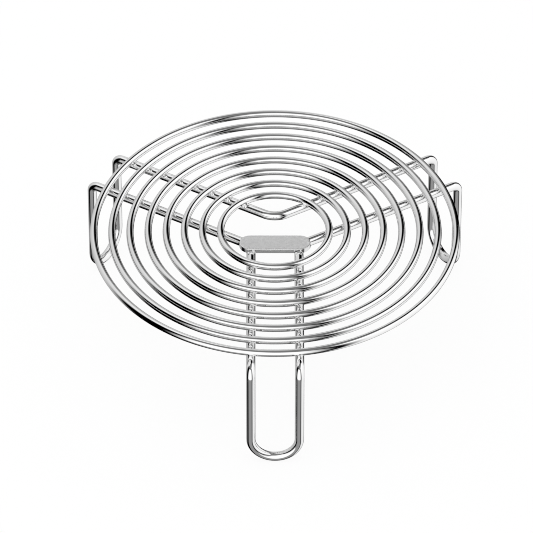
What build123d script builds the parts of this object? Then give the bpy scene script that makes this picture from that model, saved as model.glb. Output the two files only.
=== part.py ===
from build123d import *

import os
from math import cos, hypot, radians, sin

# Round wire cooling rack, in millimetres, +Z up, front leg towards -Y.
# The origin is on the axis of the rings, at the level of the surface that the feet stand on.
# Concentric wire rings are welded on top of a three-armed frame of thicker wire.  Each arm
# is a pair of parallel wires that runs out under the rings, turns down into a leg and closes
# in a round foot.  Two of the three inner bends of the frame lie under a small plate, which
# also covers the butt joints between the two frame wires.

# ---- Driving dimensions ------------------------------------------------------------------

RACK_HEIGHT = 64.3         # floor to the tops of the rings
OUTER_RING_RADIUS = 90.0   # rack axis to the outer ring's centreline
RING_COUNT = 8
RING_WIRE = 3.6            # diameter of the wire of the rings
FRAME_WIRE = 4.5           # diameter of the wire of the frame
RING_SET_DOWN = 0.4        # depth to which a ring sinks into a frame wire at a weld

REAR_ARM_ANGLE = 30.0      # between a rear arm and the side-to-side line
WIRE_SPACING = 23.75       # between the centrelines of the two wires of an arm and its leg
LEG_OVERHANG = 9.1         # outer ring's centreline to the upright plane of a leg
SHOULDER_BEND = 5.0        # centreline radius of the bend from an arm to its leg
INNER_BEND = 11.0          # centreline radius of the bend from one arm to the next

PLATE_WIDTH = 10.6         # front to rear
PLATE_THICKNESS = 2.5
PLATE_CHAMFER = 0.4        # on the rim of the top face
PLATE_OVERHANG = 4.3       # how far each end of the plate reaches past the bend under it
PLATE_FORWARD = 0.8        # middles of the bends to the plate's centreline, towards the front
PLATE_SET_DOWN = 1.2       # depth to which the plate is grooved over the frame wires
PLATE_RING_GAP = 4.9       # clear space between the plate's far corners and the inner ring

# ---- Levels and directions that follow ---------------------------------------------------

RING_LEVEL = RACK_HEIGHT - RING_WIRE / 2
ARM_TOP = RING_LEVEL - RING_WIRE / 2 + RING_SET_DOWN
ARM_LEVEL = ARM_TOP - FRAME_WIRE / 2
FOOT_LEVEL = FRAME_WIRE / 2
PLATE_TOP = ARM_TOP - PLATE_SET_DOWN + PLATE_THICKNESS

HALF_SPACING = WIRE_SPACING / 2
LEG_REACH = OUTER_RING_RADIUS + LEG_OVERHANG

REAR_RIGHT = REAR_ARM_ANGLE
REAR_LEFT = 180 - REAR_ARM_ANGLE
FRONT = 270


def polar(radius, angle, level=0.0):
    """The point at this distance and direction from the rack's axis."""
    return Vector(radius * cos(radians(angle)), radius * sin(radians(angle)), level)


# ---- Centrelines of the frame ------------------------------------------------------------


class InnerBend:
    """The arc that joins the facing wires of two neighbouring arms."""

    def __init__(self, arm, next_arm):
        self.middle = (arm + next_arm) / 2
        half_opening = (next_arm - arm) / 2
        reach = (HALF_SPACING + INNER_BEND) / sin(radians(half_opening))
        self.half_turn = 90 - half_opening
        self.centre = polar(reach, self.middle, ARM_LEVEL)
        self.apex = self.point(0)
        # How far out along both arms the arc ends.
        self.arm_start = reach * cos(radians(half_opening))

    def point(self, turn):
        """The point of the arc this many degrees from its middle."""
        return self.centre + polar(INNER_BEND, self.middle + 180 + turn)

    def path(self):
        ends = self.point(-self.half_turn), self.point(self.half_turn)
        return ThreePointArc(ends[0], self.apex, ends[1])


def hairpin_path(direction, left_start, right_start):
    """An arm's two wires and the leg that they turn down into, joined by its round foot."""
    shoulder_start = LEG_REACH - SHOULDER_BEND
    leg_top = ARM_LEVEL - SHOULDER_BEND
    foot_top = FOOT_LEVEL + HALF_SPACING
    path = []
    for side, start in ((HALF_SPACING, left_start), (-HALF_SPACING, right_start)):
        arm_end = (shoulder_start, side, ARM_LEVEL)
        leg_start = (LEG_REACH, side, leg_top)
        path.append(Line((start, side, ARM_LEVEL), arm_end))
        path.append(TangentArc(arm_end, leg_start, tangent=(1, 0, 0)))
        path.append(Line(leg_start, (LEG_REACH, side, foot_top)))
    path.append(
        ThreePointArc(
            (LEG_REACH, HALF_SPACING, foot_top),
            (LEG_REACH, 0, FOOT_LEVEL),
            (LEG_REACH, -HALF_SPACING, foot_top),
        )
    )
    return [line.rotate(Axis.Z, direction) for line in path]


def round_wire(path, diameter):
    """A wire of this diameter along a chain of tangent lines and arcs."""
    centreline = Wire([line.edge() for line in path])
    section = Plane(origin=centreline @ 0, z_dir=centreline % 0) * Circle(diameter / 2)
    return sweep(section, path=centreline)


rear_bend = InnerBend(REAR_RIGHT, REAR_LEFT)
left_bend = InnerBend(REAR_LEFT, FRONT)
right_bend = InnerBend(FRONT, REAR_RIGHT + 360)

# One wire makes both rear legs: it starts under the left end of the plate and ends under
# the right one.
side_wire = round_wire(
    [
        left_bend.path(),
        *hairpin_path(REAR_LEFT, left_bend.arm_start, rear_bend.arm_start),
        rear_bend.path(),
        *hairpin_path(REAR_RIGHT, rear_bend.arm_start, right_bend.arm_start),
        right_bend.path(),
    ],
    FRAME_WIRE,
)

# The other is a single hairpin, whose straight ends butt against the ends of the first.
front_wire = round_wire(
    hairpin_path(FRONT, right_bend.arm_start, left_bend.arm_start),
    FRAME_WIRE,
)

# ---- Plate -------------------------------------------------------------------------------

PLATE_LENGTH = 2 * (right_bend.apex.X + PLATE_OVERHANG)
PLATE_Y = right_bend.apex.Y - PLATE_FORWARD


def make_plate():
    """A round-ended bar, chamfered round the top and grooved to sit over the wires."""
    outline = Pos(0, PLATE_Y, PLATE_TOP) * SlotOverall(PLATE_LENGTH, PLATE_WIDTH)
    bar = extrude(outline, amount=-PLATE_THICKNESS)
    rim = bar.faces().sort_by(Axis.Z)[-1].edges()
    return chamfer(rim, PLATE_CHAMFER) - side_wire - front_wire


# ---- Rings -------------------------------------------------------------------------------


def ring_radii():
    """Evenly spread from the outer ring in to the one that clears the plate."""
    end_centre = PLATE_LENGTH / 2 - PLATE_WIDTH / 2
    plate_reach = hypot(end_centre, PLATE_Y) + PLATE_WIDTH / 2
    inner_radius = plate_reach + PLATE_RING_GAP + RING_WIRE / 2
    pitch = (OUTER_RING_RADIUS - inner_radius) / (RING_COUNT - 1)
    return [OUTER_RING_RADIUS - number * pitch for number in range(RING_COUNT)]


rings = [Pos(0, 0, RING_LEVEL) * Torus(radius, RING_WIRE / 2) for radius in ring_radii()]

# ---- Nodes -------------------------------------------------------------------------------

# Where a ring is welded on, it lies in a saddle pressed into the frame wire.
nodes = {
    "side_leg_wire": side_wire - rings,
    "front_leg_wire": front_wire - rings,
    "centre_plate": make_plate(),
}
for number, ring in enumerate(rings, start=1):
    nodes[f"ring_{number}"] = ring

os.makedirs("parts", exist_ok=True)
for name, solid in nodes.items():
    export_step(solid, f"parts/{name}.step")
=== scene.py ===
from math import cos, pi, radians, sin, sqrt, tan

import bpy
from mathutils import Matrix, Vector


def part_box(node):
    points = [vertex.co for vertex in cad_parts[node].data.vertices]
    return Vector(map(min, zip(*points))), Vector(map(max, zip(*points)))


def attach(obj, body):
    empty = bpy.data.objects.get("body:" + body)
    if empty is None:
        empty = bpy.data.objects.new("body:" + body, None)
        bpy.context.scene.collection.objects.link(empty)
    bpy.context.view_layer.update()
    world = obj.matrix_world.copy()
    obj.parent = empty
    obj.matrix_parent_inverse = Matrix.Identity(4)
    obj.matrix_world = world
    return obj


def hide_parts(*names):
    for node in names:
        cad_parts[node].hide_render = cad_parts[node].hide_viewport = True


# A round wire cooling rack of polished stainless steel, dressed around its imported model.
# Metres and radians, +Z up, front leg towards -Y.

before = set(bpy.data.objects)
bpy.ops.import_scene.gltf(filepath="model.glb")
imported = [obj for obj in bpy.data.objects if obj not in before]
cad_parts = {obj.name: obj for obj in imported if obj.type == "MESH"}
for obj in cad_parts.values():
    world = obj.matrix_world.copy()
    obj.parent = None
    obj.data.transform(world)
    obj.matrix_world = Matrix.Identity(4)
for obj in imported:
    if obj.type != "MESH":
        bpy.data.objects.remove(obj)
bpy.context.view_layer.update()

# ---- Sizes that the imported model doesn't give ---------------------------------------------

FRAME_WIRE_RADIUS = 0.00225
REAR_ARM_ANGLE = radians(30)   # between a rear arm and the side-to-side line
FRONT_SHOULDER_BEND = 0.005    # centreline radius, from the front arm into its leg
REAR_SHOULDER_BEND = 0.0035    # the rear legs are bent more sharply
INNER_BEND = 0.011             # centreline radius, from one arm into the next
INNER_TURN = radians(60)       # turned by each inner bend
PLATE_RIM = 0.0004             # radius of the plate's rounded rim
WELD_GAP = 0.0006              # between ring and frame wire where a weld's fillet ends
WAIST_GAP = WELD_GAP * 0.2     # and at the waist, which its curve bends towards

RING_STEPS = 288               # faces along a ring
TUBE_SIDES = 40                # faces round a wire
RUN_STEP = 0.003               # about the length of a face along a straight run
ARC_STEP = radians(6)          # turned by a face along a bend

# ---- Sizes that it does give --------------------------------------------------------------

front_low, front_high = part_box("front_leg_wire")
ARM_LEVEL = front_high.z - FRAME_WIRE_RADIUS
FOOT_LEVEL = front_low.z + FRAME_WIRE_RADIUS
HALF_SPACING = front_high.x - FRAME_WIRE_RADIUS
LEG_REACH = -front_low.y - FRAME_WIRE_RADIUS
ARM_START = (HALF_SPACING + INNER_BEND) / tan(INNER_TURN)

REAR_RIGHT = REAR_ARM_ANGLE
REAR_LEFT = pi - REAR_ARM_ANGLE
FRONT = 3 * pi / 2
UP = Vector((0, 0, 1))

WIRE_PLACE = "wire_place"      # mesh attribute: a point's place on its wire, pulled straight


def polar(radius, angle, level=0.0):
    """The point at this distance and direction from the rack's axis."""
    return Vector((radius * cos(angle), radius * sin(angle), level))


# ---- Materials -----------------------------------------------------------------------------


class Nodes:
    """Adds nodes to a tree.  An input is a number, a colour or another node's output."""

    def __init__(self, tree):
        self.tree = tree
        tree.nodes.clear()

    def add(self, kind, inputs=(), **settings):
        node = self.tree.nodes.new(kind)
        for name, value in settings.items():
            setattr(node, name, value)
        for key, value in dict(inputs).items():
            if isinstance(value, bpy.types.NodeSocket):
                self.tree.links.new(value, node.inputs[key])
            else:
                node.inputs[key].default_value = value
        return node

    def maths(self, operation, *values):
        node = self.add("ShaderNodeMath", enumerate(values), operation=operation)
        return node.outputs[0]

    def spread(self, value, given, wanted, kind="LINEAR"):
        """The value, carried from the given range to the wanted one and held inside it."""
        inputs = {0: value, 1: given[0], 2: given[1], 3: wanted[0], 4: wanted[1]}
        node = self.add("ShaderNodeMapRange", inputs, interpolation_type=kind)
        return node.outputs[0]

    def noise(self, place, scale, detail, stretch=(1, 1, 1)):
        """Noise from 0 to 1.  It is drawn out along the axes whose stretch is under 1."""
        scaled = self.add("ShaderNodeVectorMath", {0: place, 1: stretch}, operation="MULTIPLY")
        inputs = {"Vector": scaled.outputs[0], "Scale": scale, "Detail": detail}
        return self.add("ShaderNodeTexNoise", inputs).outputs[0]

    def grey(self, value):
        return self.add("ShaderNodeCombineColor", {0: value, 1: value, 2: value}).outputs[0]


def new_material(name):
    material = bpy.data.materials.new(name)
    material.use_nodes = True
    return material, Nodes(material.node_tree)


def metal(nodes, colour, roughness, height, depth, sheen=1.0):
    """The shader that all the steel ends in, with height times depth metres of relief.
    Less sheen makes it more like dull paint."""
    bump_inputs = {"Height": height, "Distance": depth, "Strength": 1.0}
    bump = nodes.add("ShaderNodeBump", bump_inputs)
    inputs = {"Base Color": colour, "Metallic": sheen, "Roughness": roughness,
              "Normal": bump.outputs[0]}
    shader = nodes.add("ShaderNodeBsdfPrincipled", inputs)
    nodes.add("ShaderNodeOutputMaterial", {"Surface": shader.outputs[0]})


def polished_wire():
    """Drawn wire, electropolished: a mirror with faint draw lines and soft waviness.
    The draw lines are a twentieth as high as the waves."""
    material, nodes = new_material("polished_wire")
    place = nodes.add("ShaderNodeAttribute", attribute_name=WIRE_PLACE).outputs["Vector"]
    draw_lines = nodes.noise(place, scale=2200, detail=3, stretch=(0.03, 1, 1))
    waves = nodes.noise(place, scale=90, detail=1, stretch=(0.5, 1, 1))
    tone = nodes.noise(place, scale=60, detail=2)
    colour = nodes.grey(nodes.spread(tone, (0.3, 0.7), (0.90, 0.94)))
    roughness = nodes.spread(draw_lines, (0.35, 0.75), (0.03, 0.07))
    height = nodes.maths("MULTIPLY_ADD", draw_lines, 0.05, waves)
    metal(nodes, colour, roughness, height, depth=0.000004)
    return material


def blasted_plate():
    """The plate's matte faces, evenly bead blasted.  Grit and mottle tint it equally."""
    material, nodes = new_material("blasted_plate")
    place = nodes.add("ShaderNodeTexCoord").outputs["Object"]
    grit = nodes.noise(place, scale=2600, detail=3)
    mottle = nodes.noise(place, scale=700, detail=3)
    mean = nodes.maths("MULTIPLY_ADD", grit, 0.5, nodes.maths("MULTIPLY", mottle, 0.5))
    colour = nodes.grey(nodes.spread(mean, (0.35, 0.65), (0.78, 0.92)))
    roughness = nodes.spread(mottle, (0.3, 0.7), (0.60, 0.70))
    metal(nodes, colour, roughness, grit, depth=0.00003, sheen=0.85)
    return material


def polished_edge():
    """The plate's cut and tumbled edge: shiny, with faint marks along it."""
    material, nodes = new_material("polished_edge")
    place = nodes.add("ShaderNodeTexCoord").outputs["Object"]
    marks = nodes.noise(place, scale=1500, detail=3, stretch=(0.2, 0.2, 1))
    colour = nodes.grey(nodes.spread(marks, (0.3, 0.7), (0.80, 0.86)))
    roughness = nodes.spread(marks, (0.3, 0.7), (0.10, 0.18))
    metal(nodes, colour, roughness, marks, depth=0.000006)
    return material


def weld_metal():
    """The fillets at the welds: polished with the wires, but slightly rippled."""
    material, nodes = new_material("weld_metal")
    place = nodes.add("ShaderNodeTexCoord").outputs["Object"]
    ripple = nodes.noise(place, scale=2400, detail=2)
    colour = nodes.grey(nodes.spread(ripple, (0.3, 0.7), (0.86, 0.93)))
    roughness = nodes.spread(ripple, (0.3, 0.7), (0.05, 0.10))
    metal(nodes, colour, roughness, ripple, depth=0.000006)
    return material


wire_steel = polished_wire()
plate_steel = blasted_plate()
edge_steel = polished_edge()
weld_steel = weld_metal()

# ---- Wires ---------------------------------------------------------------------------------


class Centreline:
    """A chain of straight runs and arcs, kept as points with their directions."""

    def __init__(self, start, direction):
        self.points = [start]
        self.directions = [direction]

    def run(self, length):
        start, direction = self.points[-1], self.directions[-1]
        steps = max(1, round(length / RUN_STEP))
        for step in range(1, steps + 1):
            self.points.append(start + direction * length * step / steps)
            self.directions.append(direction)

    def bend(self, radius, turn, axis):
        """Turns by this angle about an axis, which lies square to the wire."""
        start, direction = self.points[-1], self.directions[-1]
        to_centre = axis.cross(direction) * radius
        steps = max(1, round(turn / ARC_STEP))
        for step in range(1, steps + 1):
            rotation = Matrix.Rotation(turn * step / steps, 3, axis)
            self.points.append(start + to_centre - rotation @ to_centre)
            self.directions.append(rotation @ direction)

    def hairpin(self, arm, shoulder):
        """Out along an arm's left wire, down, round the foot, up and in along its right
        wire, where left and right are as seen from the rack's axis."""
        outward = polar(1, arm)
        left = polar(1, arm + pi / 2)
        arm_run = LEG_REACH - shoulder - ARM_START
        leg_run = ARM_LEVEL - shoulder - FOOT_LEVEL - HALF_SPACING
        self.run(arm_run)
        self.bend(shoulder, pi / 2, left)
        self.run(leg_run)
        self.bend(HALF_SPACING, pi, -outward)
        self.run(leg_run)
        self.bend(shoulder, pi / 2, -left)
        self.run(arm_run)


def front_leg_path():
    """One hairpin, from the butt joint under the plate's +X end to the one under its -X
    end."""
    start = polar(ARM_START, FRONT, ARM_LEVEL) + polar(HALF_SPACING, FRONT + pi / 2)
    path = Centreline(start, polar(1, FRONT))
    path.hairpin(FRONT, FRONT_SHOULDER_BEND)
    return path


def side_leg_path():
    """Both rear legs and the three inner bends, from the butt joint under the plate's -X
    end to the one under its +X end."""
    start = polar(ARM_START, FRONT, ARM_LEVEL) - polar(HALF_SPACING, FRONT + pi / 2)
    path = Centreline(start, -polar(1, FRONT))
    for arm in (REAR_LEFT, REAR_RIGHT):
        path.bend(INNER_BEND, INNER_TURN, UP)
        path.hairpin(arm, REAR_SHOULDER_BEND)
    path.bend(INNER_BEND, INNER_TURN, UP)
    return path


class Ring:
    """One ring's size and place, from its node's box."""

    def __init__(self, node):
        low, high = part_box(node)
        self.node = node
        self.wire_radius = (high.z - low.z) / 2
        self.level = (high.z + low.z) / 2
        self.radius = (high.x - low.x) / 2 - self.wire_radius

    def path(self):
        path = Centreline(polar(self.radius, 0, self.level), polar(1, pi / 2))
        for step in range(1, RING_STEPS):
            angle = 2 * pi * step / RING_STEPS
            path.points.append(polar(self.radius, angle, self.level))
            path.directions.append(polar(1, angle + pi / 2))
        return path


def new_piece(name, vertices, faces, materials):
    mesh = bpy.data.meshes.new(name)
    mesh.from_pydata(vertices, [], faces)
    for material in materials:
        mesh.materials.append(material)
    for polygon in mesh.polygons:
        polygon.use_smooth = True
    piece = bpy.data.objects.new(name, mesh)
    bpy.context.scene.collection.objects.link(piece)
    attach(piece, "root")
    return piece


def tube(name, path, radius, closed=False):
    """A round wire along a centreline, with each point's place on the straight wire."""
    side = path.directions[0].orthogonal().normalized()
    along = 0.0
    vertices, places = [], []
    for number, (point, direction) in enumerate(zip(path.points, path.directions)):
        if number:
            side = path.directions[number - 1].rotation_difference(direction) @ side
            along += (point - path.points[number - 1]).length
        up = direction.cross(side)
        for step in range(TUBE_SIDES):
            angle = 2 * pi * step / TUBE_SIDES
            across = (radius * cos(angle), radius * sin(angle))
            vertices.append(point + side * across[0] + up * across[1])
            places.extend((along, *across))
    faces = []
    rows = len(path.points)
    for row in range(rows if closed else rows - 1):
        here = row * TUBE_SIDES
        there = (row + 1) % rows * TUBE_SIDES
        for step in range(TUBE_SIDES):
            after = (step + 1) % TUBE_SIDES
            faces.append((here + step, here + after, there + after, there + step))
    if not closed:
        faces.append(tuple(reversed(range(TUBE_SIDES))))
        faces.append(tuple(range((rows - 1) * TUBE_SIDES, rows * TUBE_SIDES)))
    piece = new_piece(name, vertices, faces, [wire_steel])
    attribute = piece.data.attributes.new(WIRE_PLACE, "FLOAT_VECTOR", "POINT")
    attribute.data.foreach_set("vector", places)
    return piece


rings = [Ring(name) for name in sorted(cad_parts) if name.startswith("ring_")]
for ring in rings:
    piece = tube(f"polished_{ring.node}", ring.path(), ring.wire_radius, closed=True)
    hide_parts(ring.node)

for node, path in (("front_leg_wire", front_leg_path()), ("side_leg_wire", side_leg_path())):
    piece = tube(f"polished_{node}", path, FRAME_WIRE_RADIUS)
    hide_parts(node)

# ---- Welds ---------------------------------------------------------------------------------

WELD_SIDES = 28                # faces round a weld
WELD_PROFILE = 6               # faces from the ring down to the frame wire
HALVINGS = 30                  # of the range in which a fillet's edge is looked for


def facing_heights(ring, arm, point):
    """The heights of the ring's underside and of the frame wire's top, at this point in
    plan."""
    from_ring = ring.radius - sqrt(point.x ** 2 + point.y ** 2)
    across = abs(point.dot(polar(1, arm + pi / 2))) - HALF_SPACING
    ring_height = ring.level - sqrt(max(ring.wire_radius ** 2 - from_ring ** 2, 0))
    wire_height = ARM_LEVEL + sqrt(max(FRAME_WIRE_RADIUS ** 2 - across ** 2, 0))
    return ring_height, wire_height


def weld_reach(ring, arm, middle, direction, gap):
    """How far from the weld's middle the gap between the wires opens to this much."""
    near, far = 0.0, ring.wire_radius
    for _ in range(HALVINGS):
        reach = (near + far) / 2
        ring_height, wire_height = facing_heights(ring, arm, middle + direction * reach)
        if ring_height - wire_height < gap:
            near = reach
        else:
            far = reach
    return near


def weld_fillet(ring, arm, middle):
    """The concave collar of metal squeezed out round one weld, as vertices and faces."""
    vertices, faces = [], []
    for side in range(WELD_SIDES):
        direction = polar(1, 2 * pi * side / WELD_SIDES)
        outer = weld_reach(ring, arm, middle, direction, WELD_GAP)
        inner = weld_reach(ring, arm, middle, direction, WAIST_GAP)
        outer_point = middle + direction * outer
        inner_point = middle + direction * inner
        ring_height, wire_height = facing_heights(ring, arm, outer_point)
        inner_height = sum(facing_heights(ring, arm, inner_point)) / 2
        top = Vector((outer_point.x, outer_point.y, ring_height))
        waist = Vector((inner_point.x, inner_point.y, inner_height))
        foot = Vector((outer_point.x, outer_point.y, wire_height))
        for step in range(WELD_PROFILE + 1):
            t = step / WELD_PROFILE
            vertices.append(top * (1 - t) ** 2 + waist * 2 * t * (1 - t) + foot * t ** 2)
    rows = WELD_PROFILE + 1
    for side in range(WELD_SIDES):
        here = side * rows
        there = (side + 1) % WELD_SIDES * rows
        for step in range(WELD_PROFILE):
            faces.append((here + step, here + step + 1, there + step + 1, there + step))
    return vertices, faces


def arm_welds(name, arm):
    """The sixteen welds of one arm."""
    vertices, faces = [], []
    for ring in rings:
        for side in (HALF_SPACING, -HALF_SPACING):
            reach = sqrt(ring.radius ** 2 - side ** 2)
            middle = polar(reach, arm) + polar(side, arm + pi / 2)
            weld_vertices, weld_faces = weld_fillet(ring, arm, middle)
            first = len(vertices)
            vertices.extend(weld_vertices)
            faces.extend(tuple(first + corner for corner in face) for face in weld_faces)
    piece = new_piece(name, vertices, faces, [weld_steel])


arm_welds("front_arm_welds", FRONT)
arm_welds("left_arm_welds", REAR_LEFT)
arm_welds("right_arm_welds", REAR_RIGHT)

# ---- Plate ---------------------------------------------------------------------------------

PLATE_END_STEPS = 48           # faces round each half-round end
PLATE_RIM_STEPS = 5            # faces over the rounded rim
PLATE_BORDER = PLATE_RIM * 3   # from the wall to the inner edge of a flat border
SHARP_ANGLE = radians(50)      # the plate's faces shade apart where they turn by more

plate_low, plate_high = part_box("centre_plate")


def plate_outline(inset):
    """The plate's round-ended outline, this far inside its walls."""
    end_radius = (plate_high.y - plate_low.y) / 2
    end_x = plate_high.x - end_radius
    middle_y = (plate_high.y + plate_low.y) / 2
    outline = []
    for end, first in ((end_x, -pi / 2), (-end_x, pi / 2)):
        for step in range(PLATE_END_STEPS + 1):
            corner = polar(end_radius - inset, first + pi * step / PLATE_END_STEPS)
            outline.append(Vector((end + corner.x, middle_y + corner.y, 0)))
    return outline


def make_plate():
    """Matte top and underside, each with a flat border, and a bright wall between them
    with a rounded upper rim."""
    levels = [(PLATE_BORDER, plate_high.z)]
    for step in range(PLATE_RIM_STEPS + 1):
        angle = pi / 2 * step / PLATE_RIM_STEPS
        inset = PLATE_RIM * (1 - sin(angle))
        levels.append((inset, plate_high.z - PLATE_RIM * (1 - cos(angle))))
    levels.append((0, plate_low.z))
    levels.append((PLATE_BORDER, plate_low.z))
    vertices, faces = [], []
    for inset, level in levels:
        vertices.extend(point + UP * level for point in plate_outline(inset))
    corners = len(vertices) // len(levels)
    for row in range(len(levels) - 1):
        for corner in range(corners):
            after = (corner + 1) % corners
            upper, lower = row * corners, (row + 1) * corners
            faces.append((lower + corner, lower + after, upper + after, upper + corner))
    wall_faces = range(corners, (len(levels) - 2) * corners)
    faces.append(tuple(range(corners)))
    faces.append(tuple(reversed(range((len(levels) - 1) * corners, len(vertices)))))
    piece = new_piece("stainless_plate", vertices, faces, [plate_steel, edge_steel])
    for number in wall_faces:
        piece.data.polygons[number].material_index = 1
    piece.data.set_sharp_from_angle(angle=SHARP_ANGLE)
    return piece


plate = make_plate()
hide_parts("centre_plate")

# ---- Stage ---------------------------------------------------------------------------------

FLOOR_SIZE = 12.0
FLOOR_COLOUR = (0.9, 0.9, 0.9, 1)
FLOOR_GLOW = 0.9               # the share of its own white that the camera sees
WHITE = (1, 1, 1, 1)


def make_floor():
    """White, with the rack's soft shadow; clear from beneath, so that the feet show."""
    half = FLOOR_SIZE / 2
    corners = [(-half, -half, 0), (half, -half, 0), (half, half, 0), (-half, half, 0)]
    mesh = bpy.data.meshes.new("floor")
    mesh.from_pydata(corners, [], [(0, 1, 2, 3)])
    floor = bpy.data.objects.new("floor", mesh)
    bpy.context.scene.collection.objects.link(floor)
    floor.visible_glossy = False
    material, nodes = new_material("white_floor")
    light_path = nodes.add("ShaderNodeLightPath")
    paper = nodes.add("ShaderNodeBsdfDiffuse", {"Color": FLOOR_COLOUR})
    glow = nodes.add("ShaderNodeEmission", {"Color": WHITE, "Strength": 1.0})
    share = nodes.maths("MULTIPLY", light_path.outputs["Is Camera Ray"], FLOOR_GLOW)
    lit = nodes.add("ShaderNodeMixShader", {0: share, 1: paper.outputs[0], 2: glow.outputs[0]})
    backfacing = nodes.add("ShaderNodeNewGeometry").outputs["Backfacing"]
    clear = nodes.add("ShaderNodeBsdfTransparent")
    surface = nodes.add("ShaderNodeMixShader",
                        {0: backfacing, 1: lit.outputs[0], 2: clear.outputs[0]})
    nodes.add("ShaderNodeOutputMaterial", {"Surface": surface.outputs[0]})
    mesh.materials.append(material)


make_floor()

FLOOR_EDGE = radians(-75)      # elevation, seen from the rack
FLOOR_BLUR = radians(8)        # to either side of the edge
FLOOR_GREYS = (0.05, 0.25)     # behind the rack and in front of it
FLOOR_TURN = (-0.2, 0.4)       # from one grey to the other: the share of a direction to -Y
CEILING_EDGE = radians(60)
CEILING_BLUR = radians(3)
CEILING_GREY = 0.2
GAP_GREY = 0
LEAST_AHEAD = 0.02             # a panel ends where less of a direction points at it
SIDE_BLUR = 0.32               # half width of a panel's soft edges, over its distance
TOP_BLUR = 0.2
SILL_EASE = 0.2


class Studio:
    """What the polished wires mirror: soft white panels round the rack, with dark gaps
    between them, a grey ceiling and a dark floor.  Azimuths are in degrees, from the
    camera's side towards +X: 90 is to the right in the picture and 180 is behind."""

    def __init__(self, nodes):
        self.nodes = nodes
        self.direction = nodes.add("ShaderNodeTexCoord").outputs["Generated"]
        split = nodes.add("ShaderNodeSeparateXYZ", {0: self.direction})
        height = split.outputs["Z"]
        front = nodes.maths("MULTIPLY", split.outputs["Y"], -1)
        floor = nodes.spread(front, FLOOR_TURN, FLOOR_GREYS, "SMOOTHSTEP")
        above_floor = self.blend(self.above(height, FLOOR_EDGE, FLOOR_BLUR), floor, GAP_GREY)
        self.brightness = self.blend(self.above(height, CEILING_EDGE, CEILING_BLUR),
                                     above_floor, CEILING_GREY)

    def above(self, height, edge, blur):
        """0 under an edge and 1 over it, with a soft step that blurs it to either side."""
        step = (sin(edge - blur), sin(edge + blur))
        return self.nodes.spread(height, step, (0, 1), "SMOOTHSTEP")

    def blend(self, share, first, second):
        """The first value, or the second where the share is 1."""
        return self.nodes.add("ShaderNodeMix", {0: share, 2: first, 3: second}).outputs[0]

    def along(self, axis):
        """How much of a direction points along an axis."""
        inputs = {0: self.direction, 1: axis}
        return self.nodes.add("ShaderNodeVectorMath", inputs,
                              operation="DOT_PRODUCT").outputs["Value"]

    def between(self, value, low, high, blur):
        """1 between two limits and 0 outside them, with a soft step at each limit."""
        rise = self.nodes.spread(value, (low - blur, low + blur), (0, 1), "SMOOTHSTEP")
        fall = self.nodes.spread(value, (high - blur, high + blur), (1, 0), "SMOOTHSTEP")
        return self.nodes.maths("MULTIPLY", rise, fall)

    def panel(self, azimuth, half_width, low, high, level, rise=0, below=None, sill=0,
              slope=0):
        """An upright flat panel in front of what is there so far.  Its half width, its
        lower and upper edge and its sill are the angles, in degrees, at which they are
        seen from the rack.  The other lengths are shares of its distance, and x grows with
        the azimuth.  Both edges drop by slope times x.  Its light is level; where below is
        given, it is below up to the sill and eases into level over SILL_EASE.  The light
        grows by the share rise per unit of height."""
        facing = Vector((sin(radians(azimuth)), -cos(radians(azimuth)), 0))
        sideways = Vector((-facing.y, facing.x, 0))
        maths = self.nodes.maths
        ahead = self.along(facing)
        distance = maths("MAXIMUM", ahead, LEAST_AHEAD)
        x = maths("DIVIDE", self.along(sideways), distance)
        y = maths("DIVIDE", self.along(UP), distance)
        half = tan(radians(half_width))
        sloped = maths("MULTIPLY_ADD", x, slope, y)
        inside = maths("MULTIPLY", self.between(x, -half, half, SIDE_BLUR),
                       self.between(sloped, tan(radians(low)), tan(radians(high)), TOP_BLUR))
        inside = maths("MULTIPLY", inside, maths("GREATER_THAN", ahead, LEAST_AHEAD))
        light = level
        if below is not None:
            sill_height = tan(radians(sill))
            step = (sill_height, sill_height + SILL_EASE)
            light = self.nodes.spread(y, step, (below, level), "SMOOTHSTEP")
        light = maths("MULTIPLY", maths("MULTIPLY_ADD", y, rise, 1), light)
        self.brightness = self.blend(inside, self.brightness, light)


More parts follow.
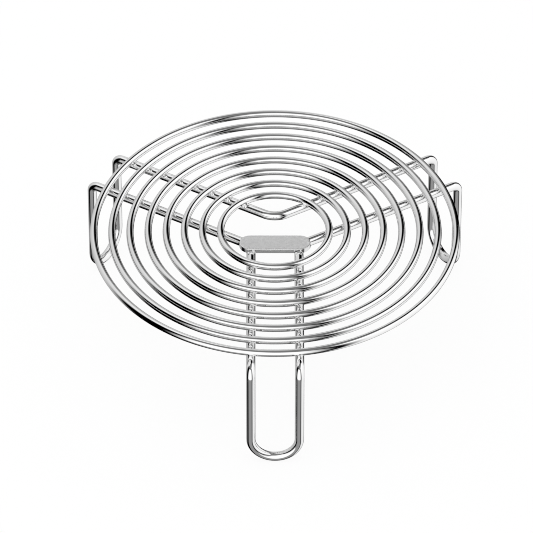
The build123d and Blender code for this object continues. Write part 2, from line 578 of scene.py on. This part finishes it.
def make_world():
    world = bpy.data.worlds.new("studio")
    bpy.context.scene.world = world
    world.use_nodes = True
    world.cycles.sampling_method = "NONE"
    nodes = Nodes(world.node_tree)
    studio = Studio(nodes)

    # each panel as azimuth, half width, lower edge, upper edge and level: a narrow one
    # behind, one behind on the left, one in front and one on the right
    studio.panel(180, 8, -30, 35, 1.2)
    studio.panel(-140, 40, -50, 70, 0.6, rise=0.3)
    studio.panel(-15, 40, -70, 60, 1.1, below=0.3, sill=-30)
    studio.panel(90, 45, -75, 65, 1.0, rise=0.1, slope=0.6)

    light_path = nodes.add("ShaderNodeLightPath")
    seen = studio.blend(light_path.outputs["Is Glossy Ray"], 1.0, studio.brightness)
    background = nodes.add("ShaderNodeBackground", {"Color": WHITE, "Strength": seen})
    nodes.add("ShaderNodeOutputWorld", {"Surface": background.outputs[0]})


make_world()

LAMP_PLACE = Vector((-0.5, -0.3, 1.6))
LAMP_SIZE = 1.6
LAMP_WATTS = 5


def make_lamp():
    """One large soft panel overhead, for the rack's shadow on the floor."""
    light = bpy.data.lights.new("soft_panel", "AREA")
    light.shape = "DISK"
    light.size = LAMP_SIZE
    light.energy = LAMP_WATTS
    lamp = bpy.data.objects.new("soft_panel", light)
    lamp.location = LAMP_PLACE
    lamp.rotation_euler = (-LAMP_PLACE).to_track_quat("-Z", "Y").to_euler()
    lamp.visible_glossy = False
    bpy.context.scene.collection.objects.link(lamp)


make_lamp()

# ---- Camera --------------------------------------------------------------------------------

CAMERA_ELEVATION = radians(41.32)
CAMERA_TURN = radians(0.114)   # the camera stands this much to the left of the front leg
CAMERA_DISTANCE = 2.964
LENS = 403.2                   # millimetres
SENSOR_WIDTH = 36              # millimetres
CLIP_END = 30                  # past the far corners of the floor
AIM_LEFT = 0.00417             # from the rings' centre to the middle of the view
AIM_DOWN = 0.01776


def make_camera():
    level = polar(cos(CAMERA_ELEVATION), FRONT - CAMERA_TURN)
    backward = level + UP * sin(CAMERA_ELEVATION)
    camera_right = polar(1, -CAMERA_TURN)
    camera_up = backward.cross(camera_right)
    centre = UP * rings[0].level
    data = bpy.data.cameras.new("camera")
    data.lens = LENS
    data.sensor_width = SENSOR_WIDTH
    data.clip_end = CLIP_END
    camera = bpy.data.objects.new("camera", data)
    bpy.context.scene.collection.objects.link(camera)
    camera.location = centre + backward * CAMERA_DISTANCE
    aim = centre - camera_up * AIM_DOWN - camera_right * AIM_LEFT
    camera.rotation_euler = (aim - camera.location).to_track_quat("-Z", "Y").to_euler()
    bpy.context.scene.camera = camera


make_camera()
bpy.context.scene.view_settings.view_transform = "Standard"
bpy.context.scene.cycles.filter_width = 1.0
